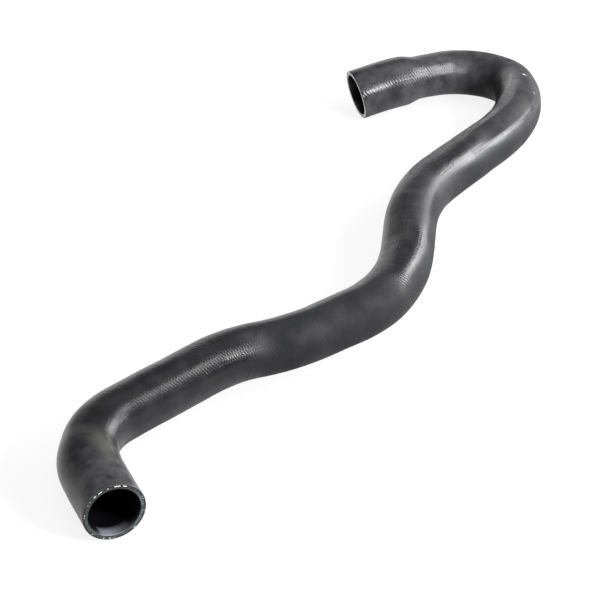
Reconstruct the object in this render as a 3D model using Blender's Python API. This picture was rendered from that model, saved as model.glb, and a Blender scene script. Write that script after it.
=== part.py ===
"""Charge air hose: one formed length of wrapped rubber, with a wider cuff at each end.

The hose is laid up on a bent mandrel and cured there, so it keeps its bends. It lies on
a floor at z = 0, with the near cuff pointing along -Y and the far cuff along -X.
"""

import math

import bmesh
import bpy
from mathutils import Quaternion, Vector

for old_object in list(bpy.data.objects):
    bpy.data.objects.remove(old_object)

# Bores and walls, in metres. The mandrel sets the bores, and the wrap sets the walls.
BODY_BORE = 0.045
CUFF_BORE = 0.050
CUFF_WALL = 0.005
LONG_RUN_WALL = 0.005
S_BEND_WALL = 0.006
HOOK_WALL = 0.005
UPPER_LEG_WALL = 0.0035

# A cuff takes a pipe stub and its clamp, and a short cone leads from it into the body.
NEAR_CUFF_LENGTH = 0.070
NEAR_CONE_LENGTH = 0.036
FAR_CUFF_LENGTH = 0.060
FAR_CONE_LENGTH = 0.024
CUT_EDGE = 0.0005

# The centreline's corner points and the radius that rounds each corner.
NEAR_END = (-0.370, -0.384, 0.030)
BENDS = {
    "near elbow": ((-0.371, -0.266, 0.037), 0.090),
    "long run, first kink": ((-0.188, -0.189, 0.042), 0.180),
    "long run, second kink": ((-0.116, -0.186, 0.040), 0.175),
    "lower S bend": ((0.036, -0.114, 0.024), 0.220),
    "upper S bend": ((0.120, 0.042, 0.047), 0.220),
    "hook, opening sweep": ((0.343, 0.197, 0.040), 0.250),
    "hook, tight turn": ((0.392, 0.377, 0.021), 0.055),
    "far leg": ((0.232, 0.339, 0.041), 0.210),
}
FAR_END = (0.183, 0.342, 0.030)

# How finely the tube is drawn.
SIDES = 36
ARC_STEP = math.radians(7.0)
CONE_RINGS = 4
LONGEST_STEP = 0.024
SHORTEST_STEP = 0.004
SHARP_ANGLE = math.radians(30.0)

RUBBER_COLOUR = (0.022, 0.022, 0.024, 1.0)
RUBBER_ROUGHNESS = 0.42


def straight_piece(start, end):
    """A straight stretch of the centreline, as its length and a function along it."""
    along = (end - start).normalized()
    return (end - start).length, lambda distance: (start + along * distance, along)


def arc_piece(start, centre, axis, angle):
    """An arc from start round an axis through centre, as its length and a function."""
    spoke = start - centre

    def place(distance):
        turned = Quaternion(axis, distance / spoke.length) @ spoke
        return centre + turned, axis.cross(turned).normalized()

    return spoke.length * angle, place


def centreline_pieces():
    """Straights and arcs from the near end to the far end, and where each bend's middle is."""
    corners = [Vector(corner) for corner, _ in BENDS.values()]
    corners = [Vector(NEAR_END)] + corners + [Vector(FAR_END)]
    pieces = []
    bend_middles = []
    reached = corners[0]
    travelled = 0.0
    for index, (_, radius) in enumerate(BENDS.values(), start=1):
        arriving = (corners[index] - corners[index - 1]).normalized()
        leaving = (corners[index + 1] - corners[index]).normalized()
        angle = arriving.angle(leaving)
        setback = radius * math.tan(angle / 2)
        arc_start = corners[index] - arriving * setback
        to_centre = (leaving - arriving).normalized()
        centre = corners[index] + to_centre * math.hypot(radius, setback)
        axis = arriving.cross(leaving).normalized()
        straight = straight_piece(reached, arc_start)
        arc = arc_piece(arc_start, centre, axis, angle)
        pieces += [straight + (LONGEST_STEP,), arc + (min(LONGEST_STEP, radius * ARC_STEP),)]
        bend_middles.append(travelled + straight[0] + arc[0] / 2)
        travelled += straight[0] + arc[0]
        reached = corners[index] + leaving * setback
    pieces.append(straight_piece(reached, corners[-1]) + (LONGEST_STEP,))
    return pieces, bend_middles


def place_on(pieces, distance):
    """The centreline's point and direction at a distance from the near end."""
    for length, place, _ in pieces[:-1]:
        if distance < length:
            return place(distance)
        distance -= length
    return pieces[-1][1](distance)


def between(stations, distance):
    """A size read off a list of (distance, size) stations, with no corner at any of them."""
    if distance <= stations[0][0]:
        return stations[0][1]
    for (low, low_size), (high, high_size) in zip(stations, stations[1:]):
        if distance <= high:
            share = (distance - low) / (high - low)
            return low_size + (high_size - low_size) * share * share * (3 - 2 * share)
    return stations[-1][1]


def wall_stations(bend_middles, total):
    """Bore and outer diameter along the hose: cuff, cone, body, cone, cuff."""
    near_cuff = NEAR_CUFF_LENGTH
    near_body = near_cuff + NEAR_CONE_LENGTH
    far_cuff = total - FAR_CUFF_LENGTH
    far_body = far_cuff - FAR_CONE_LENGTH
    bores = [(near_cuff, CUFF_BORE), (near_body, BODY_BORE)]
    bores += [(far_body, BODY_BORE), (far_cuff, CUFF_BORE)]

    bend_walls = [LONG_RUN_WALL] * 3 + [S_BEND_WALL] * 2 + [HOOK_WALL] * 2
    at_bends = [place for place in zip(bend_middles, bend_walls) if near_body < place[0] < far_body]
    body_walls = [(near_body, LONG_RUN_WALL)] + at_bends + [(far_body, UPPER_LEG_WALL)]
    cuff_diameter = CUFF_BORE + 2 * CUFF_WALL
    outers = [(near_cuff, cuff_diameter)]
    outers += [(distance, BODY_BORE + 2 * wall) for distance, wall in body_walls]
    outers.append((far_cuff, cuff_diameter))
    return bores, outers


def ring_distances(pieces, total):
    """Where the rings stand: at the cuts, closely through each cone, and evenly between."""
    distances = [0.0, CUT_EDGE, total - CUT_EDGE, total]
    for index in range(CONE_RINGS + 1):
        share = index / CONE_RINGS
        distances.append(NEAR_CUFF_LENGTH + NEAR_CONE_LENGTH * share)
        distances.append(total - FAR_CUFF_LENGTH - FAR_CONE_LENGTH * share)
    travelled = 0.0
    for length, _, step in pieces:
        count = max(1, math.ceil(length / step))
        for index in range(count):
            distance = travelled + length * index / count
            if min(abs(distance - other) for other in distances) > SHORTEST_STEP:
                distances.append(distance)
        travelled += length
    return sorted(distances)


def cross_frames(pieces, distances):
    """A centre and two cross directions per ring, carried along without twisting."""
    _, along = place_on(pieces, 0.0)
    side = along.cross(Vector((0, 0, 1))).normalized()
    frames = []
    for distance in distances:
        point, new_along = place_on(pieces, distance)
        side = along.rotation_difference(new_along) @ side
        side = (side - new_along * side.dot(new_along)).normalized()
        along = new_along
        frames.append((point, side, side.cross(along)))
    return frames


def add_ring(mesh, frame, radius):
    """One circle of vertices in a ring's cross plane."""
    centre, side, up = frame
    ring = []
    for index in range(SIDES):
        turn = 2 * math.pi * index / SIDES
        spoke = side * math.cos(turn) + up * math.sin(turn)
        ring.append(mesh.verts.new(centre + spoke * radius))
    return ring


def hose_mesh():
    """The wall as one closed band of rings: out along the outside and back along the bore."""
    pieces, bend_middles = centreline_pieces()
    total = sum(length for length, _, _ in pieces)
    bores, outers = wall_stations(bend_middles, total)
    distances = ring_distances(pieces, total)
    frames = cross_frames(pieces, distances)

    mesh = bmesh.new()
    outside = []
    inside = []
    for distance, frame in zip(distances, frames):
        edge = CUT_EDGE if distance in (0.0, total) else 0.0
        outside.append(add_ring(mesh, frame, between(outers, distance) / 2 - edge))
        inside.append(add_ring(mesh, frame, between(bores, distance) / 2 + edge))
    band = outside + inside[::-1]
    for ring, next_ring in zip(band, band[1:] + band[:1]):
        for index in range(SIDES):
            after = (index + 1) % SIDES
            mesh.faces.new((ring[index], ring[after], next_ring[after], next_ring[index]))
    bmesh.ops.recalc_face_normals(mesh, faces=mesh.faces)
    return mesh


def stand_on_floor(mesh):
    """Puts the origin on the floor under the middle of the hose's box."""
    spans = [[vertex.co[axis] for vertex in mesh.verts] for axis in range(3)]
    middle = [(min(span) + max(span)) / 2 for span in spans[:2]]
    bmesh.ops.translate(mesh, verts=mesh.verts, vec=(-middle[0], -middle[1], -min(spans[2])))


def rubber():
    """Black synthetic rubber with a satin skin from the curing wrap."""
    material = bpy.data.materials.new("wrapped rubber")
    material.use_nodes = True
    shader = material.node_tree.nodes["Principled BSDF"]
    shader.inputs["Base Color"].default_value = RUBBER_COLOUR
    shader.inputs["Roughness"].default_value = RUBBER_ROUGHNESS
    shader.inputs["Metallic"].default_value = 0.0
    return material


def make_hose():
    """The hose as one object."""
    mesh = hose_mesh()
    stand_on_floor(mesh)
    data = bpy.data.meshes.new("hose")
    mesh.to_mesh(data)
    mesh.free()
    data.materials.append(rubber())
    data.shade_smooth()
    data.set_sharp_from_angle(angle=SHARP_ANGLE)
    hose = bpy.data.objects.new("hose", data)
    bpy.context.collection.objects.link(hose)
    return hose


make_hose()
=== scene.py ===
"""A charge air hose of wrapped rubber, lying on a pale floor in soft studio light."""

import math

import bpy
import numpy as np
from mathutils import Matrix, Quaternion, Vector


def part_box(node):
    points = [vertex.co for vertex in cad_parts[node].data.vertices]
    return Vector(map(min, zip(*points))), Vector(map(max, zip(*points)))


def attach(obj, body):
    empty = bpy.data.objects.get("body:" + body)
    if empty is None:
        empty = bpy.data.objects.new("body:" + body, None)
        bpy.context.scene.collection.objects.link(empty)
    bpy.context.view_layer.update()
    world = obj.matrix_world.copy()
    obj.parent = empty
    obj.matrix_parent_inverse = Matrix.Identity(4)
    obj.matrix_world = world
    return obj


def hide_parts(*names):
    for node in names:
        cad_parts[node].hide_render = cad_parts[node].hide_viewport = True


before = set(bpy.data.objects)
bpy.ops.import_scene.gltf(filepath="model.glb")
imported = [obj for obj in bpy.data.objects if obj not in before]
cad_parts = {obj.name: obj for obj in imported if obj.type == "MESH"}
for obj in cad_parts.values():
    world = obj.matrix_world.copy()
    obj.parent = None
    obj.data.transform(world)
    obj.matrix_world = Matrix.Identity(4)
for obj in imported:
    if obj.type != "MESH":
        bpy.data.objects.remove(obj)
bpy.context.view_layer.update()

# The hose is one length of nitrile rubber, laid up with woven plies on a bent steel mandrel.
# It is bound in wet nylon tape while it cures, which leaves low laps and a hand-laid waviness
# in its skin. The mandrel is pulled out afterwards, and both cuffs are cut square.
NEAR_END = (-0.370, -0.384, 0.030)
BENDS = {
    "near elbow": ((-0.371, -0.266, 0.037), 0.090),
    "long run, first kink": ((-0.188, -0.189, 0.042), 0.180),
    "long run, second kink": ((-0.116, -0.186, 0.040), 0.175),
    "lower S bend": ((0.036, -0.114, 0.024), 0.220),
    "upper S bend": ((0.120, 0.042, 0.047), 0.220),
    "hook, opening sweep": ((0.343, 0.197, 0.040), 0.250),
    "hook, tight turn": ((0.392, 0.377, 0.021), 0.055),
    "far leg": ((0.232, 0.339, 0.041), 0.210),
}
FAR_END = (0.183, 0.342, 0.030)

BODY_BORE = 0.045
CUFF_BORE = 0.050
CUFF_DIAMETER = 0.060
LONG_RUN_DIAMETER = 0.055
S_BEND_DIAMETER = 0.057
HOOK_DIAMETER = 0.055
UPPER_LEG_DIAMETER = 0.052
NEAR_CUFF_LENGTH = 0.070
NEAR_CONE_LENGTH = 0.036
FAR_CUFF_LENGTH = 0.060
FAR_CONE_LENGTH = 0.024
CUT_EDGE_RADIUS = 0.0006

TAPE_PITCH = 0.022
LAP_HEIGHT = 0.00008
HAND_LAID_WAVE = 0.00016

SIDES = 80
SKIN_STEP = 0.0015
BORE_STEP = 0.006
FACE_ROWS = 8
SKIN, CUT, BORE = range(3)


def hose_centreline():
    """Straights and arcs through the corner points, and each bend's middle."""
    corners = [Vector(corner) for corner, _ in BENDS.values()]
    corners = [Vector(NEAR_END)] + corners + [Vector(FAR_END)]
    stretches = []
    middles = []
    reached = corners[0]
    travelled = 0.0
    for index, (_, radius) in enumerate(BENDS.values(), start=1):
        arriving = (corners[index] - corners[index - 1]).normalized()
        leaving = (corners[index + 1] - corners[index]).normalized()
        angle = arriving.angle(leaving)
        setback = radius * math.tan(angle / 2)
        arc_start = corners[index] - arriving * setback
        centre = corners[index] + (leaving - arriving).normalized() * math.hypot(radius, setback)
        axis = arriving.cross(leaving).normalized()
        straight = (arc_start - reached).length
        stretches.append(("straight", straight, reached, arriving))
        stretches.append(("arc", radius * angle, arc_start - centre, centre, axis))
        middles.append(travelled + straight + radius * angle / 2)
        travelled += straight + radius * angle
        reached = corners[index] + leaving * setback
    stretches.append(("straight", (corners[-1] - reached).length, reached, leaving))
    return stretches, middles


def point_along(stretches, distance):
    """The centreline's point and direction at a distance from the near cut."""
    for stretch in stretches:
        if distance <= stretch[1] or stretch is stretches[-1]:
            break
        distance -= stretch[1]
    if stretch[0] == "straight":
        _, _, start, along = stretch
        return start + along * distance, along
    _, _, spoke, centre, axis = stretch
    turned = Quaternion(axis, distance / spoke.length) @ spoke
    return centre + turned, axis.cross(turned).normalized()


def rings_along(stretches, distances):
    """Centres, directions and two cross directions of rings, carried along untwisted."""
    _, along = point_along(stretches, 0.0)
    side = along.cross(Vector((0, 0, 1))).normalized()
    rows = []
    for distance in distances:
        centre, new_along = point_along(stretches, distance)
        side = along.rotation_difference(new_along) @ side
        side = (side - new_along * side.dot(new_along)).normalized()
        along = new_along
        rows.append((*centre, *along, *side, *side.cross(along)))
    return np.array(rows).reshape(-1, 4, 3)


def smooth(low, high, values):
    """Goes from 0 to 1 as the values go from low to high, with no corners."""
    share = np.clip((values - low) / (high - low), 0.0, 1.0)
    return share * share * (3 - 2 * share)


def sizes_along(distances, stations, sizes):
    """Sizes between stations, with no corner at any of them."""
    after = np.clip(np.searchsorted(stations, distances), 1, len(stations) - 1)
    stations, sizes = np.array(stations), np.array(sizes)
    share = smooth(stations[after - 1], stations[after], distances)
    return sizes[after - 1] + (sizes[after] - sizes[after - 1]) * share


def skin_relief(distances, turns):
    """How far the skin stands off its plain radius: tape laps and hand-laid waviness."""
    along = distances[:, None]
    around = turns[None, :] * 2 * math.pi
    tape = (along / TAPE_PITCH + turns[None, :]) % 1.0
    lap = LAP_HEIGHT * (1.0 - tape) * np.clip(tape / 0.06, 0.0, 1.0)
    wave = np.sin(along / 0.0131 + 2 * around + 1.3) * np.sin(along / 0.0370 + around)
    wave = wave + 0.8 * np.sin(along / 0.0212 - 3 * around + 0.4) * np.cos(along / 0.0510 + 0.7)
    wave = wave + 0.6 * np.cos(along / 0.0087 + around + 2.0) * np.sin(along / 0.0290 - around)
    return lap + HAND_LAID_WAVE * wave


stretches, bend_middles = hose_centreline()
hose_length = sum(stretch[1] for stretch in stretches)
near_body = NEAR_CUFF_LENGTH + NEAR_CONE_LENGTH
far_cuff = hose_length - FAR_CUFF_LENGTH
far_body = far_cuff - FAR_CONE_LENGTH
bore_places = (NEAR_CUFF_LENGTH, near_body, far_body, far_cuff)
bore_sizes = (CUFF_BORE, BODY_BORE, BODY_BORE, CUFF_BORE)
skin_places = [NEAR_CUFF_LENGTH, near_body] + bend_middles[1:7] + [far_body, far_cuff]
skin_sizes = [CUFF_DIAMETER] + [LONG_RUN_DIAMETER] * 3 + [S_BEND_DIAMETER] * 2
skin_sizes += [HOOK_DIAMETER] * 2 + [UPPER_LEG_DIAMETER, CUFF_DIAMETER]

# A profile row is a place along the hose, a radius, the share of skin relief that it takes,
# how far out through the wall it lies, and the finish of the band up to the next row.
run_start, run_end = CUT_EDGE_RADIUS, hose_length - CUT_EDGE_RADIUS
skin_run = np.linspace(run_start, run_end, round(hose_length / SKIN_STEP))
bore_run = np.linspace(run_end, run_start, round(hose_length / BORE_STEP))
skin_radii = sizes_along(skin_run, skin_places, skin_sizes) / 2
bore_radii = sizes_along(bore_run, bore_places, bore_sizes) / 2
lip = [
    (CUT_EDGE_RADIUS * (1 - math.sin(angle)), CUT_EDGE_RADIUS * (1 - math.cos(angle)))
    for angle in np.linspace(0.0, math.pi / 2, 4)[1:]
]
cuff_outer, cuff_inner = CUFF_DIAMETER / 2, CUFF_BORE / 2
face_shares = np.linspace(0.0, 1.0, FACE_ROWS + 2)[1:-1]
face_radii = [
    cuff_inner + CUT_EDGE_RADIUS + share * (cuff_outer - cuff_inner - 2 * CUT_EDGE_RADIUS)
    for share in face_shares
]
rows = [(place, cuff_outer - inset, 0.0, 1.0, SKIN) for place, inset in lip[::-1]]
rows += [(place, radius, 1.0, 1.0, SKIN) for place, radius in zip(skin_run, skin_radii)]
rows += [(hose_length - place, cuff_outer - inset, 0.0, 1.0, SKIN) for place, inset in lip]
rows[-1] = rows[-1][:4] + (CUT,)
rows += [
    (hose_length, radius, 0.0, share, CUT)
    for share, radius in zip(face_shares[::-1], face_radii[::-1])
]
rows += [(hose_length - place, cuff_inner + inset, 0.0, 0.0, BORE) for place, inset in lip[::-1]]
rows += [(place, radius, 0.0, 0.0, BORE) for place, radius in zip(bore_run, bore_radii)]
rows += [(place, cuff_inner + inset, 0.0, 0.0, BORE) for place, inset in lip]
rows[-1] = rows[-1][:4] + (CUT,)
rows += [(0.0, radius, 0.0, share, CUT) for share, radius in zip(face_shares, face_radii)]
profile = np.array(rows)
places, row_radii, row_relief, row_depth = profile[:, :4].T
row_finish = profile[:, 4].astype(int)

in_order = np.argsort(places, kind="stable")
rings = np.empty((len(profile), 4, 3))
rings[in_order] = rings_along(stretches, places[in_order])
turns = np.arange(SIDES) / SIDES
radii = row_radii[:, None] + row_relief[:, None] * skin_relief(places, turns)
spokes = np.cos(2 * math.pi * turns)[None, :, None] * rings[:, None, 2]
spokes = spokes + np.sin(2 * math.pi * turns)[None, :, None] * rings[:, None, 3]
points = rings[:, None, 0] + radii[:, :, None] * spokes

corner = np.arange(len(profile))[:, None] * SIDES + np.arange(SIDES)[None, :]
beside = np.roll(corner, -1, axis=1)
faces = [corner, beside, np.roll(beside, -1, axis=0), np.roll(corner, -1, axis=0)]
faces = np.stack(faces, axis=2)
hose_mesh = bpy.data.meshes.new("wrapped_hose")
hose_mesh.from_pydata(points.reshape(-1, 3).tolist(), [], faces.reshape(-1, 4).tolist())
hose_mesh.polygons.foreach_set("material_index", np.repeat(row_finish, SIDES))

# The tape's cloth is laid out flat in two numbers: metres along the hose, and turns around.
laid_out = hose_mesh.uv_layers.new(name="laid out")
next_places = np.roll(places, -1)
metres = np.stack([places, places, next_places, next_places], axis=1)
metres = metres[:, None, :].repeat(SIDES, axis=1)
columns = np.arange(SIDES)
around = np.stack([columns, columns + 1, columns + 1, columns], axis=1)[None, :, :] / SIDES
around = around.repeat(len(profile), axis=0)
laid_out.data.foreach_set("uv", np.stack([metres, around], axis=3).reshape(-1))
hose_mesh.shade_smooth()
hose = bpy.data.objects.new("wrapped_hose", hose_mesh)
bpy.context.scene.collection.objects.link(hose)

# Its box is centred on the solid's box, so it stands on the floor to within 0.3 mm.
cad_low, cad_high = (np.array(edge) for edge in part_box("hose"))
own = points.reshape(-1, 3)
shift = (cad_low + cad_high) / 2 - (own.min(axis=0) + own.max(axis=0)) / 2
hose_mesh.transform(Matrix.Translation(shift))
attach(hose, "root")
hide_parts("hose")

# The skin is black rubber with a satin face that the nylon tape moulded, so its weave shows as
# a fine print. A dry grey bloom has come out on it, most at the two cuffs, with an olive haze
# at the near elbow and a few scuffs. Painted shade darkens the right flank from the S bend to
# the hook, and at the hook a pale dot and a pale arc along the inner bend are painted highlights.
THREAD_PITCH = 0.0034
THREAD_HEIGHT = 0.00011
THREADS_AROUND = 46
SHADED_FLANK_BLUR = 0.032
PAINTED_ARC_START, PAINTED_ARC_END, PAINTED_ARC_STEP = 0.960, 1.046, 0.006

# Each pattern's scale is one over its size in metres, as judged: 45 mm for the clouds,
# 17 mm for the grime and 2.4 mm for the pits.
CLOUD_SCALE = 22.0
GRIME_SCALE = 60.0
PIT_SCALE = 420.0
PIT_DEPTH = 0.00012


def patch(distance, turn, length, width):
    """A soft spot on the skin, at a distance and a turn, with its length and width in metres."""
    along = places[:, None] - distance
    across = (turns[None, :] - turn + 0.5) % 1.0 - 0.5
    across = across * 2 * math.pi * row_radii[:, None]
    return np.exp(-((along / length) ** 2) - (across / width) ** 2) * (row_depth[:, None] == 1.0)


def amount_along(stations):
    """An amount for each row of the profile, from a table of distances and amounts."""
    return sizes_along(places, list(stations), list(stations.values()))[:, None]


def paint_on(mesh, name, values):
    """Keeps one number for each point of the mesh under a name, for its material to read."""
    layer = mesh.attributes.new(name, "FLOAT", "POINT")
    layer.data.foreach_set("value", np.clip(values, 0.0, 1.0).astype(np.float32).reshape(-1))


# From the S bend to the hook, painted shade darkens the right flank: most of its bloom is taken
# off there, and it has half its print.
from_right = np.minimum(turns, 1.0 - turns)[None, :]
shaded_flank_edge = np.interp(places, (0.45, 0.72, 0.82, 1.04), (0.140, 0.140, 0.085, 0.085))[:, None]
shaded_flank_along = amount_along({0.0: 0, 0.45: 0, 0.54: 0.8, 0.98: 0.7, 1.04: 0, 1.306: 0})
shaded_flank = smooth(SHADED_FLANK_BLUR, -SHADED_FLANK_BLUR, from_right - shaded_flank_edge) * shaded_flank_along
bloom_and_painted_light = amount_along({
    0.0: 0.42, 0.05: 0.26, 0.09: 0.03, 0.20: 0.05, 0.35: 0.02, 0.50: 0.01, 0.58: 0.06,
    0.68: 0.14, 0.80: 0.06, 0.95: 0.08, 1.10: 0.16, 1.20: 0.22, 1.306: 0.24,
})
# Painted highlight: the pale spot at the first kink.
bloom_and_painted_light = bloom_and_painted_light * (1.0 - shaded_flank) + 0.15 * patch(0.324, 0.157, 0.016, 0.012)
thread_print = amount_along({
    0.0: 0.15, 0.10: 0.25, 0.20: 0.35, 0.28: 0.8, 0.36: 0.8, 0.45: 0.25, 0.54: 0.9, 0.62: 0.9,
    0.68: 0.5, 0.74: 0.9, 0.90: 1.0, 1.02: 0.5, 1.10: 0.4, 1.20: 0.9, 1.306: 0.9,
})
thread_print = thread_print * (1.0 - 0.6 * shaded_flank)

# The skin is dull in stretches, but hardly on its upper left. It is half dull all along
# underneath, and dull on the right flank that is darkened with painted shade and along the top
# of the opening sweep.
dull = amount_along({
    0.0: 0.2, 0.30: 0.07, 0.345: 0.80, 0.50: 1.0, 0.545: 0.05, 0.61: 0.05, 0.64: 0.4, 0.70: 0.4,
    0.735: 0.07, 0.95: 0.03, 1.00: 0.5, 1.10: 0.9, 1.14: 0.9, 1.17: 0.3, 1.22: 0.05, 1.306: 0.05,
})
still_shiny = amount_along({0.0: 0.9, 1.04: 0.9, 1.10: 0.3, 1.16: 0.3, 1.20: 0.9, 1.306: 0.9})
still_shiny = still_shiny * smooth(0.22, 0.30, turns) * smooth(0.52, 0.46, turns)
underside = smooth(0.52, 0.62, turns) * smooth(1.02, 0.92, turns)
top_of_sweep = smooth(0.130, 0.155, turns) * smooth(0.30, 0.25, turns)
top_of_sweep = amount_along({0.0: 0, 0.82: 0, 0.86: 1, 0.98: 1, 1.03: 0, 1.306: 0}) * top_of_sweep
dull = np.maximum(dull * (1.0 - still_shiny), 0.5 * underside[None, :])
dull = np.maximum(np.maximum(dull, shaded_flank), top_of_sweep)

haze = 0.35 * patch(0.078, 0.185, 0.016, 0.011) + 0.25 * patch(0.052, 0.165, 0.020, 0.012)
# The strongest dot, at the hook, is a painted glint, and the fainter marks are scuffs.
scuffs_and_glints = 0.7 * patch(1.043, 0.223, 0.0018, 0.0018) + 0.3 * patch(0.998, 0.153, 0.0014, 0.0012)
scuffs_and_glints += 0.04 * patch(0.042, 0.304, 0.0012, 0.0060)
# A row of pale spots along the inner bend of the hook is a painted highlight.
for distance in np.arange(PAINTED_ARC_START, PAINTED_ARC_END, PAINTED_ARC_STEP):
    turn = 0.384 - 0.76 * (distance - PAINTED_ARC_START)
    scuffs_and_glints += 0.08 * patch(distance, turn, PAINTED_ARC_STEP, 0.0022)
paint_on(hose_mesh, "bloom_and_painted_light", bloom_and_painted_light)
paint_on(hose_mesh, "dull", dull)
paint_on(hose_mesh, "haze", haze)
paint_on(hose_mesh, "scuffs_and_glints", scuffs_and_glints)
paint_on(hose_mesh, "thread print", thread_print)


def paint(code):
    """An sRGB hex colour as the linear colour that a shader takes."""
    parts = [int(code[place : place + 2], 16) / 255 for place in (1, 3, 5)]
    parts = [part / 12.92 if part <= 0.04045 else ((part + 0.055) / 1.055) ** 2.4 for part in parts]
    return (*parts, 1.0)


def new_material(name):
    """A material with nodes, its node tree and its main shader."""
    material = bpy.data.materials.new(name)
    material.use_nodes = True
    return material, material.node_tree, material.node_tree.nodes["Principled BSDF"]


def add_node(tree, kind, settings=None, inputs=None):
    """Adds a node, sets its settings, and gives each input a value or a link."""
    node = tree.nodes.new(kind)
    for name, value in (settings or {}).items():
        setattr(node, name, value)
    for name, value in (inputs or {}).items():
        if isinstance(value, bpy.types.NodeSocket):
            tree.links.new(value, node.inputs[name])
        else:
            node.inputs[name].default_value = value
    return node


skin, tree, shader = new_material("tape-wrapped nitrile rubber")
shader.inputs["IOR"].default_value = 1.5
shader.inputs["Specular IOR Level"].default_value = 0.24

body = add_node(tree, "ShaderNodeTexCoord").outputs["Object"]
clouds = add_node(
    tree, "ShaderNodeTexNoise", inputs={"Vector": body, "Scale": CLOUD_SCALE, "Detail": 4.0}
)
grime = add_node(
    tree, "ShaderNodeTexNoise", inputs={"Vector": body, "Scale": GRIME_SCALE, "Detail": 5.0}
)
cloud_share = add_node(
    tree, "ShaderNodeMapRange",
    inputs={"Value": clouds.outputs["Fac"], "From Min": 0.35, "From Max": 0.68},
)
black = add_node(
    tree, "ShaderNodeMix", {"data_type": "RGBA"},
    {0: cloud_share.outputs["Result"], 6: paint("#08090d"), 7: paint("#131318")},
)
# The bloom amount also carries the right flank's painted shade and a painted highlight at the first
# kink.
bloom_light_read = add_node(tree, "ShaderNodeAttribute", {"attribute_name": "bloom_and_painted_light"})
mottled = add_node(tree, "ShaderNodeMapRange", inputs={
    "Value": grime.outputs["Fac"], "From Min": 0.34, "From Max": 0.66,
    "To Min": 0.4, "To Max": 1.6,
})
bloom_light_share = add_node(
    tree, "ShaderNodeMath", {"operation": "MULTIPLY", "use_clamp": True},
    {0: bloom_light_read.outputs["Fac"], 1: mottled.outputs["Result"]},
)
bloomed_and_lit = add_node(
    tree, "ShaderNodeMix", {"data_type": "RGBA"},
    {0: bloom_light_share.outputs[0], 6: black.outputs[2], 7: paint("#5e5e60")},
)
haze_read = add_node(tree, "ShaderNodeAttribute", {"attribute_name": "haze"})
hazed = add_node(
    tree, "ShaderNodeMix", {"data_type": "RGBA"},
    {0: haze_read.outputs["Fac"], 6: bloomed_and_lit.outputs[2], 7: paint("#53544a")},
)
# Pale scuffs, with the painted glint and the painted highlight at the hook.
scuff_glint_read = add_node(tree, "ShaderNodeAttribute", {"attribute_name": "scuffs_and_glints"})
with_scuffs_and_glints = add_node(
    tree, "ShaderNodeMix", {"data_type": "RGBA"},
    {0: scuff_glint_read.outputs["Fac"], 6: hazed.outputs[2], 7: paint("#d2d2ce")},
)
tree.links.new(with_scuffs_and_glints.outputs[2], shader.inputs["Base Color"])

dull_read = add_node(tree, "ShaderNodeAttribute", {"attribute_name": "dull"})
rough = add_node(tree, "ShaderNodeMapRange", inputs={
    "Value": grime.outputs["Fac"], "From Min": 0.3, "From Max": 0.7,
    "To Min": 0.20, "To Max": 0.26,
})
dullness = add_node(tree, "ShaderNodeMapRange", inputs={
    "Value": clouds.outputs["Fac"], "From Min": 0.35, "From Max": 0.65,
    "To Min": 0.72, "To Max": 0.40,
})
rough = add_node(
    tree, "ShaderNodeMath", {"operation": "MULTIPLY_ADD"},
    {0: dull_read.outputs["Fac"], 1: dullness.outputs["Result"], 2: rough.outputs["Result"]},
)
tree.links.new(rough.outputs[0], shader.inputs["Roughness"])

# The tape's threads cross on the slant and leave a fine diamond print. The real threads seem
# to lie about 2 mm apart, and they are drawn coarser here, at 3.4 mm, so that they show.
flat_cloth = add_node(tree, "ShaderNodeUVMap", {"uv_map": "laid out"}).outputs["UV"]
cloth = add_node(tree, "ShaderNodeSeparateXYZ", inputs={"Vector": flat_cloth})
metres_along, turns_around = cloth.outputs["X"], cloth.outputs["Y"]
wandering = add_node(
    tree, "ShaderNodeMath", {"operation": "MULTIPLY_ADD"},
    {0: grime.outputs["Fac"], 1: 0.0028, 2: metres_along},
)


def threads(lean):
    """Ripples across the cloth, one for each thread, which lean by whole threads per turn."""
    along = add_node(
        tree, "ShaderNodeMath", {"operation": "MULTIPLY"},
        {0: wandering.outputs[0], 1: 2 * math.pi / THREAD_PITCH},
    )
    angle = add_node(
        tree, "ShaderNodeMath", {"operation": "MULTIPLY_ADD"},
        {0: turns_around, 1: 2 * math.pi * lean, 2: along.outputs[0]},
    )
    return add_node(tree, "ShaderNodeMath", {"operation": "SINE"}, {0: angle.outputs[0]}).outputs[0]


weave = add_node(
    tree, "ShaderNodeMath", {"operation": "MULTIPLY_ADD"},
    {0: threads(-THREADS_AROUND / 2), 1: 0.35, 2: threads(THREADS_AROUND / 2)},
)
pressed = add_node(tree, "ShaderNodeMapRange", inputs={
    "Value": clouds.outputs["Fac"], "From Min": 0.35, "From Max": 0.65,
    "To Min": 0.3, "To Max": 1.1,
})
print_read = add_node(tree, "ShaderNodeAttribute", {"attribute_name": "thread print"})
weave = add_node(
    tree, "ShaderNodeMath", {"operation": "MULTIPLY"},
    {0: weave.outputs[0], 1: print_read.outputs["Fac"]},
)
weave_height = add_node(
    tree, "ShaderNodeMath", {"operation": "MULTIPLY"},
    {0: weave.outputs[0], 1: pressed.outputs["Result"]},
)
moulded = add_node(
    tree, "ShaderNodeBump", inputs={"Height": weave_height.outputs[0], "Distance": THREAD_HEIGHT}
)
pits = add_node(
    tree, "ShaderNodeTexNoise", inputs={"Vector": body, "Scale": PIT_SCALE, "Detail": 3.0}
)
pitted = add_node(tree, "ShaderNodeBump", inputs={
    "Height": pits.outputs["Fac"], "Distance": PIT_DEPTH, "Normal": moulded.outputs["Normal"],
})
tree.links.new(pitted.outputs["Normal"], shader.inputs["Normal"])
hose_mesh.materials.append(skin)

# The cut faces show the wall: a black cover outside, and a greenish grey tube compound under
# it. The saw dragged black rubber over most of it, which leaves it bare in patches, with fine
# The far cut is painted pale.
DRAG_DEPTH = 0.0003
DRAG_SCALE = 500.0  # one over the 2 mm that the drag marks are apart

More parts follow.
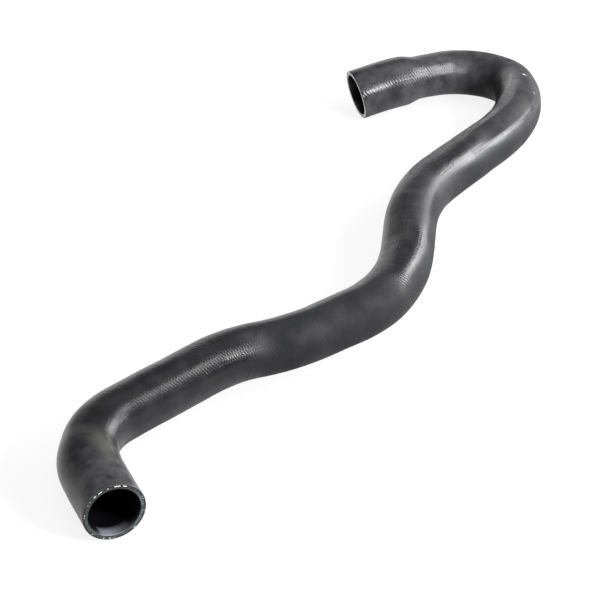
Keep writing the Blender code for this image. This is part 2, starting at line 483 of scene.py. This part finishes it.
paint_on(hose_mesh, "out through the wall", row_depth[:, None] * np.ones(SIDES)[None, :])
bare_turns = (0.00, 0.08, 0.14, 0.36, 0.45, 0.52, 0.60, 0.66, 0.72, 0.80, 0.88, 0.95, 1.00)
bare_amounts = (0.95, 0.80, 0.20, 0.12, 0.25, 0.45, 0.60, 0.45, 0.30, 0.50, 0.80, 1.00, 0.95)
near_bare = np.interp(turns, bare_turns, bare_amounts)[None, :]
paint_on(hose_mesh, "bare compound", np.where(places[:, None] < hose_length / 2, near_bare, 1.0))
# The far cut is painted pale all round, in faint bands.
pale_far_cut = 0.75 + 0.25 * np.sin(2 * math.pi * 11 * turns)
paint_on(hose_mesh, "pale far cut", (places > hose_length / 2)[:, None] * pale_far_cut[None, :])

cut, tree, shader = new_material("saw-cut rubber")
shader.inputs["Roughness"].default_value = 0.4
depth_read = add_node(tree, "ShaderNodeAttribute", {"attribute_name": "out through the wall"})
cover_share = add_node(
    tree, "ShaderNodeMapRange",
    inputs={"Value": depth_read.outputs["Fac"], "From Min": 0.52, "From Max": 0.64},
)
body = add_node(tree, "ShaderNodeTexCoord").outputs["Object"]
drag = add_node(
    tree, "ShaderNodeTexNoise", inputs={"Vector": body, "Scale": DRAG_SCALE, "Detail": 3.0}
)
drag_share = add_node(
    tree, "ShaderNodeMapRange",
    inputs={"Value": drag.outputs["Fac"], "From Min": 0.38, "From Max": 0.62},
)
compound = add_node(
    tree, "ShaderNodeMix", {"data_type": "RGBA"},
    {0: drag_share.outputs["Result"], 6: paint("#222929"), 7: paint("#5e6a6a")},
)
bare_read = add_node(tree, "ShaderNodeAttribute", {"attribute_name": "bare compound"})
tube_colour = add_node(
    tree, "ShaderNodeMix", {"data_type": "RGBA"},
    {0: bare_read.outputs["Fac"], 6: paint("#0c0e10"), 7: compound.outputs[2]},
)
cut_colour = add_node(
    tree, "ShaderNodeMix", {"data_type": "RGBA"},
    {0: cover_share.outputs["Result"], 6: tube_colour.outputs[2], 7: paint("#08090a")},
)
pale_far_cut_read = add_node(tree, "ShaderNodeAttribute", {"attribute_name": "pale far cut"})
cut_colour = add_node(
    tree, "ShaderNodeMix", {"data_type": "RGBA"},
    {0: pale_far_cut_read.outputs["Fac"], 6: cut_colour.outputs[2], 7: paint("#c4c6c4")},
)
tree.links.new(cut_colour.outputs[2], shader.inputs["Base Color"])
sawn = add_node(
    tree, "ShaderNodeBump", inputs={"Height": drag.outputs["Fac"], "Distance": DRAG_DEPTH}
)
tree.links.new(sawn.outputs["Normal"], shader.inputs["Normal"])
hose_mesh.materials.append(cut)

# The bore is as smooth as the mandrel, and black. Just inside the near cut, the light that
# falls on its floor is painted on as a pale film.
BORE_LIGHT_DEPTH = 0.010
bore_light_turns = (0.00, 0.10, 0.58, 0.655, 0.675, 0.72, 0.76, 0.80, 0.86, 0.93, 1.00)
bore_light_amounts = (0.06, 0.00, 0.05, 0.22, 0.95, 1.00, 0.85, 0.42, 0.24, 0.10, 0.06)
bore_light_streaks = 0.85 + 0.15 * np.sin(2 * math.pi * 23 * turns) * np.sin(2 * math.pi * 9 * turns + 1.0)
reach_turns, reach_shares = (0.0, 0.6, 0.70, 0.78, 0.88, 1.0), (0.4, 0.4, 1.0, 1.0, 0.6, 0.4)
bore_light_reach = BORE_LIGHT_DEPTH * np.interp(turns, reach_turns, reach_shares)
# Painted light: a pale film on the bore's floor, as far in as the light reaches.
bore_light = 1.0 - smooth(0.8, 1.0, places[:, None] / bore_light_reach[None, :])
bore_light = bore_light * (bore_light_streaks * np.interp(turns, bore_light_turns, bore_light_amounts))[None, :]
paint_on(hose_mesh, "bore_light", bore_light)

lining, tree, shader = new_material("mandrel-smooth rubber")
shader.inputs["Roughness"].default_value = 0.4
bore_light_read = add_node(tree, "ShaderNodeAttribute", {"attribute_name": "bore_light"})
lining_colour = add_node(
    tree, "ShaderNodeMix", {"data_type": "RGBA"},
    {0: bore_light_read.outputs["Fac"], 6: paint("#08080b"), 7: paint("#8e8f9b")},
)
tree.links.new(lining_colour.outputs[2], shader.inputs["Base Color"])
hose_mesh.materials.append(lining)

# Polyester yarn reinforces the wall, laid round it near the outside. The saw opened it where
# it met it, so the cut faces show its ends as white dashes and dots, some smeared with black
# rubber from the blade, and a few loose fibres hang from the bottom of the near cut.
YARN_RING = 0.0283
YARN_RADIUS = 0.00042
SMEARED_RING = YARN_RING - 0.0004
SMEARED_RADIUS = YARN_RADIUS * 0.8
SMEARED_PROUD = -0.0001
FIBRE_RING = 0.0287
FIBRE_RADIUS = 0.00016
FIBRE_FLARE = 0.0010
FIBRE_SCALE = 1500.0  # one over the 0.7 mm that its mottling is across
CLEAN, SMEARED = range(2)

# Where each yarn end starts and stops, in turns, with half a dot's width and the smeared ends'
# length and spacing. A loose fibre has a turn, a length in metres and a lean.
HALF_DOT = 0.002
SMEARED_LENGTH = 0.007
SMEARED_SPACING = 0.0213
FIBRE_LEAN = 0.012
dots = (0.397, 0.417, 0.480, 0.493, 0.615, 0.045, 0.060)
near_yarn = [(0.180, 0.202), (0.215, 0.250), (0.279, 0.287), (0.315, 0.338), (0.352, 0.369)]
near_yarn += [(turn - HALF_DOT, turn + HALF_DOT) for turn in dots]
near_yarn += [(0.855, 0.869), (0.968, 0.972), (0.684, 0.692), (0.716, 0.728), (0.741, 0.746)]
smeared_yarn = [(turn, turn + SMEARED_LENGTH) for turn in np.arange(0.008, 1.0, SMEARED_SPACING)]
loose_fibres = [(0.686, 0.0022, 0.3), (0.703, 0.0030, -0.2), (0.722, 0.0026, 0.5)]
loose_fibres += [(0.738, 0.0034, 0.1), (0.757, 0.0020, -0.4), (0.668, 0.0018, 0.2)]
yarn_points, yarn_faces, yarn_finish = [], [], []


def add_thread(path, thickness, finish, sides=8):
    """A round thread along a path, tapering to a fifth of its thickness at both of its ends."""
    count = len(path)
    first = len(yarn_points)
    for index, place in enumerate(path):
        ahead = path[min(index + 1, count - 1)] - path[max(index - 1, 0)]
        side = ahead.orthogonal().normalized()
        other = ahead.normalized().cross(side)
        radius = thickness * math.sqrt(1.0 - (2.0 * index / (count - 1) - 1.0) ** 4 * 0.96)
        for step in range(sides):
            turn = 2 * math.pi * step / sides
            yarn_points.append(place + (side * math.cos(turn) + other * math.sin(turn)) * radius)
    for index in range(count - 1):
        for step in range(sides):
            low, high = first + index * sides, first + (index + 1) * sides
            after = (step + 1) % sides
            yarn_faces.append((low + step, low + after, high + after, high + step))
            yarn_finish.append(finish)
    start_cap = range(first + sides - 1, first - 1, -1)
    end_cap = range(first + (count - 1) * sides, first + count * sides)
    for cap in (start_cap, end_cap):
        yarn_faces.append(tuple(cap))
        yarn_finish.append(finish)


def on_cut(ring, turn, radius, proud):
    """A place on a cut face, at a turn and a radius, and how proud of the face it stands."""
    centre, outward, side, other = (Vector(row) for row in ring)
    spoke = side * math.cos(2 * math.pi * turn) + other * math.sin(2 * math.pi * turn)
    return centre + Vector(shift) + spoke * radius + outward * proud


near_cut, far_cut = rings[np.argmin(places)].copy(), rings[np.argmax(places)].copy()
near_cut[1] = -near_cut[1]
for start, end in near_yarn:
    path_turns = np.linspace(start, end, max(4, round((end - start) * 400)))
    path = [on_cut(near_cut, turn, YARN_RING, 0.0) for turn in path_turns]
    add_thread(path, YARN_RADIUS, CLEAN)
for cut_ring in (near_cut, far_cut):
    for start, end in smeared_yarn:
        path_turns = np.linspace(start, end, 4)
        path = [on_cut(cut_ring, turn, SMEARED_RING, SMEARED_PROUD) for turn in path_turns]
        add_thread(path, SMEARED_RADIUS, SMEARED)
for turn, length, lean in loose_fibres:
    path = []
    for share in np.linspace(0.0, 1.0, 5):
        leant = turn + lean * FIBRE_LEAN * share
        path.append(on_cut(near_cut, leant, FIBRE_RING + FIBRE_FLARE * share, length * share))
    add_thread(path, FIBRE_RADIUS, CLEAN, sides=6)

yarn_mesh = bpy.data.meshes.new("yarn_ends")
yarn_mesh.from_pydata(yarn_points, [], yarn_faces)
yarn_mesh.polygons.foreach_set("material_index", yarn_finish)
yarn_mesh.shade_smooth()
yarn_ends = bpy.data.objects.new("yarn_ends", yarn_mesh)
bpy.context.scene.collection.objects.link(yarn_ends)
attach(yarn_ends, "root")
for name, pale, dark in (
    ("polyester yarn", "#f2f2ee", "#cfcfca"),
    ("smeared polyester yarn", "#6e7273", "#33383a"),
):
    yarn, tree, shader = new_material(name)
    shader.inputs["Roughness"].default_value = 0.8
    body = add_node(tree, "ShaderNodeTexCoord").outputs["Object"]
    fibres = add_node(
        tree, "ShaderNodeTexNoise", inputs={"Vector": body, "Scale": FIBRE_SCALE, "Detail": 2.0}
    )
    yarn_colour = add_node(
        tree, "ShaderNodeMix", {"data_type": "RGBA"},
        {0: fibres.outputs["Fac"], 6: paint(pale), 7: paint(dark)},
    )
    tree.links.new(yarn_colour.outputs[2], shader.inputs["Base Color"])
    yarn_mesh.materials.append(yarn)

# The camera looks down at the hose from the front left, from 2.5 m off and through a long
# lens, which keeps the two cuffs close to the same size.
CAMERA_AIM = Vector((-0.0493, -0.0450, 0.0))
CAMERA_DISTANCE = 2.531
CAMERA_TURN = math.radians(-22.5)
CAMERA_DROP = math.radians(29.7)
CAMERA_LENS_MM = 144.1

camera_data = bpy.data.cameras.new("studio camera")
camera_data.sensor_width = 36.0
camera_data.lens = CAMERA_LENS_MM
camera = bpy.data.objects.new("studio camera", camera_data)
bpy.context.scene.collection.objects.link(camera)
straight_away = Vector((-math.sin(CAMERA_TURN), math.cos(CAMERA_TURN), 0.0))
looking = straight_away * math.cos(CAMERA_DROP) - Vector((0.0, 0.0, math.sin(CAMERA_DROP)))
camera.location = CAMERA_AIM - looking * CAMERA_DISTANCE
camera.rotation_euler = looking.to_track_quat("-Z", "Y").to_euler()
bpy.context.scene.camera = camera
bpy.context.scene.view_settings.view_transform = "Standard"

# The floor is a sheet of white card. It shows as white, and keeps the hose's shadow.
FLOOR_HALF = 6.0
WHITE_AS_SEEN = 0.85
SHADE_AS_SEEN = (0.16, 0.16, 0.16, 1.0)
floor_mesh = bpy.data.meshes.new("floor_card")
floor_mesh.from_pydata(
    [(-FLOOR_HALF, -FLOOR_HALF, 0), (FLOOR_HALF, -FLOOR_HALF, 0),
     (FLOOR_HALF, FLOOR_HALF, 0), (-FLOOR_HALF, FLOOR_HALF, 0)], [], [(0, 1, 2, 3)],
)
floor = bpy.data.objects.new("floor_card", floor_mesh)
bpy.context.scene.collection.objects.link(floor)
card, tree, shader = new_material("white card")
shader.inputs["Base Color"].default_value = paint("#e4e4e4")
shader.inputs["Roughness"].default_value = 0.9
shader.inputs["Specular IOR Level"].default_value = 0.0
rays = add_node(tree, "ShaderNodeLightPath").outputs
seen = add_node(
    tree, "ShaderNodeMath", {"operation": "ADD"},
    {0: rays["Is Camera Ray"], 1: rays["Is Glossy Ray"]},
)
seen = add_node(
    tree, "ShaderNodeMath", {"operation": "ADD", "use_clamp": True},
    {0: seen.outputs[0], 1: rays["Is Transmission Ray"]},
)
shaded = add_node(tree, "ShaderNodeBsdfDiffuse", inputs={"Color": SHADE_AS_SEEN})
white = add_node(
    tree, "ShaderNodeEmission", inputs={"Color": paint("#ffffff"), "Strength": WHITE_AS_SEEN}
)
as_seen = add_node(tree, "ShaderNodeAddShader", inputs={0: shaded.outputs[0], 1: white.outputs[0]})
surface = add_node(
    tree, "ShaderNodeMixShader",
    inputs={0: seen.outputs[0], 1: shader.outputs[0], 2: as_seen.outputs[0]},
)
tree.links.new(surface.outputs[0], tree.nodes["Material Output"].inputs["Surface"])
floor_mesh.materials.append(card)

# Studio light: a white backdrop low behind the hose, pale panels and a dim room around it,
# and four soft round lamps on the right, from behind the hose to beside the camera.
rightward = Vector((math.cos(CAMERA_TURN), math.sin(CAMERA_TURN), 0.0))


def in_studio(right, away, up):
    """A place given in metres right of the camera's line of sight, away from it, and up."""
    return rightward * right + straight_away * away + Vector((0.0, 0.0, up))


world = bpy.data.worlds.new("studio")
bpy.context.scene.world = world
world.use_nodes = True
tree = world.node_tree
toward = add_node(tree, "ShaderNodeTexCoord").outputs["Generated"]
height = add_node(tree, "ShaderNodeSeparateXYZ", inputs={"Vector": toward}).outputs["Z"]


def pale_panel(faces, near, far, foot, top, level):
    """A soft-edged pale panel: the way it lies, the spread about that, its top edge and level."""
    facing = add_node(
        tree, "ShaderNodeVectorMath", {"operation": "DOT_PRODUCT"}, {0: toward, 1: faces}
    )
    across = add_node(
        tree, "ShaderNodeMapRange", {"interpolation_type": "SMOOTHSTEP"},
        {"Value": facing.outputs["Value"], "From Min": far, "From Max": near},
    )
    upward = add_node(
        tree, "ShaderNodeMapRange", {"interpolation_type": "SMOOTHSTEP"},
        {"Value": height, "From Min": foot, "From Max": top, "To Min": level, "To Max": 0.0},
    )
    return add_node(
        tree, "ShaderNodeMath", {"operation": "MULTIPLY"},
        {0: across.outputs["Result"], 1: upward.outputs["Result"]},
    ).outputs[0]


panels = 0.0
for faces, near, far, foot, top, level in (
    (in_studio(-0.09, 0.996, 0.0), 0.978, 0.93, 0.45, 0.51, 1.15),
    (in_studio(-0.17, 0.985, 0.0), 0.90, 0.75, 0.45, 0.55, 0.30),
    (in_studio(0.74, 0.67, 0.0), 0.98, 0.86, 0.45, 0.60, 0.5),
    (in_studio(-0.97, 0.26, 0.0), 0.95, 0.70, 0.20, 0.45, 0.6),
):
    panel = pale_panel(faces, near, far, foot, top, level)
    joined = add_node(tree, "ShaderNodeMath", {"operation": "ADD"}, {0: panels, 1: panel})
    panels = joined.outputs[0]
ceiling = add_node(
    tree, "ShaderNodeMapRange", {"interpolation_type": "SMOOTHSTEP"},
    {"Value": height, "From Min": 0.80, "From Max": 0.92, "To Min": 0.20, "To Max": 1.6},
)
room = add_node(
    tree, "ShaderNodeMath", {"operation": "ADD"}, {0: panels, 1: ceiling.outputs["Result"]}
)
tree.links.new(room.outputs[0], tree.nodes["Background"].inputs["Strength"])
tree.nodes["Background"].inputs["Color"].default_value = paint("#ffffff")

# Each lamp's place, what it is aimed at, its width in metres and its power in watts.
LAMPS = {
    "lamp behind": (in_studio(0.76, 0.46, 0.35), in_studio(0.12, 0.10, 0.0), 0.46, 10.0),
    "lamp at the right": (in_studio(1.19, 0.03, 0.40), in_studio(0.10, 0.42, 0.0), 0.30, 4.5),
    "lamp in front": (in_studio(0.66, -0.20, 0.66), in_studio(-0.17, -0.31, 0.0), 0.36, 5.2),
    "lamp by the camera": (in_studio(1.38, -1.50, 1.12), in_studio(0.06, 0.39, 0.0), 0.50, 60.0),
}
for name, (place, aim, width, watts) in LAMPS.items():
    lamp_data = bpy.data.lights.new(name, "AREA")
    lamp_data.shape = "DISK"
    lamp_data.size = width
    lamp_data.energy = watts
    lamp = bpy.data.objects.new(name, lamp_data)
    lamp.location = place
    lamp.rotation_euler = (aim - place).to_track_quat("-Z", "Y").to_euler()
    lamp.visible_camera = False
    bpy.context.scene.collection.objects.link(lamp)
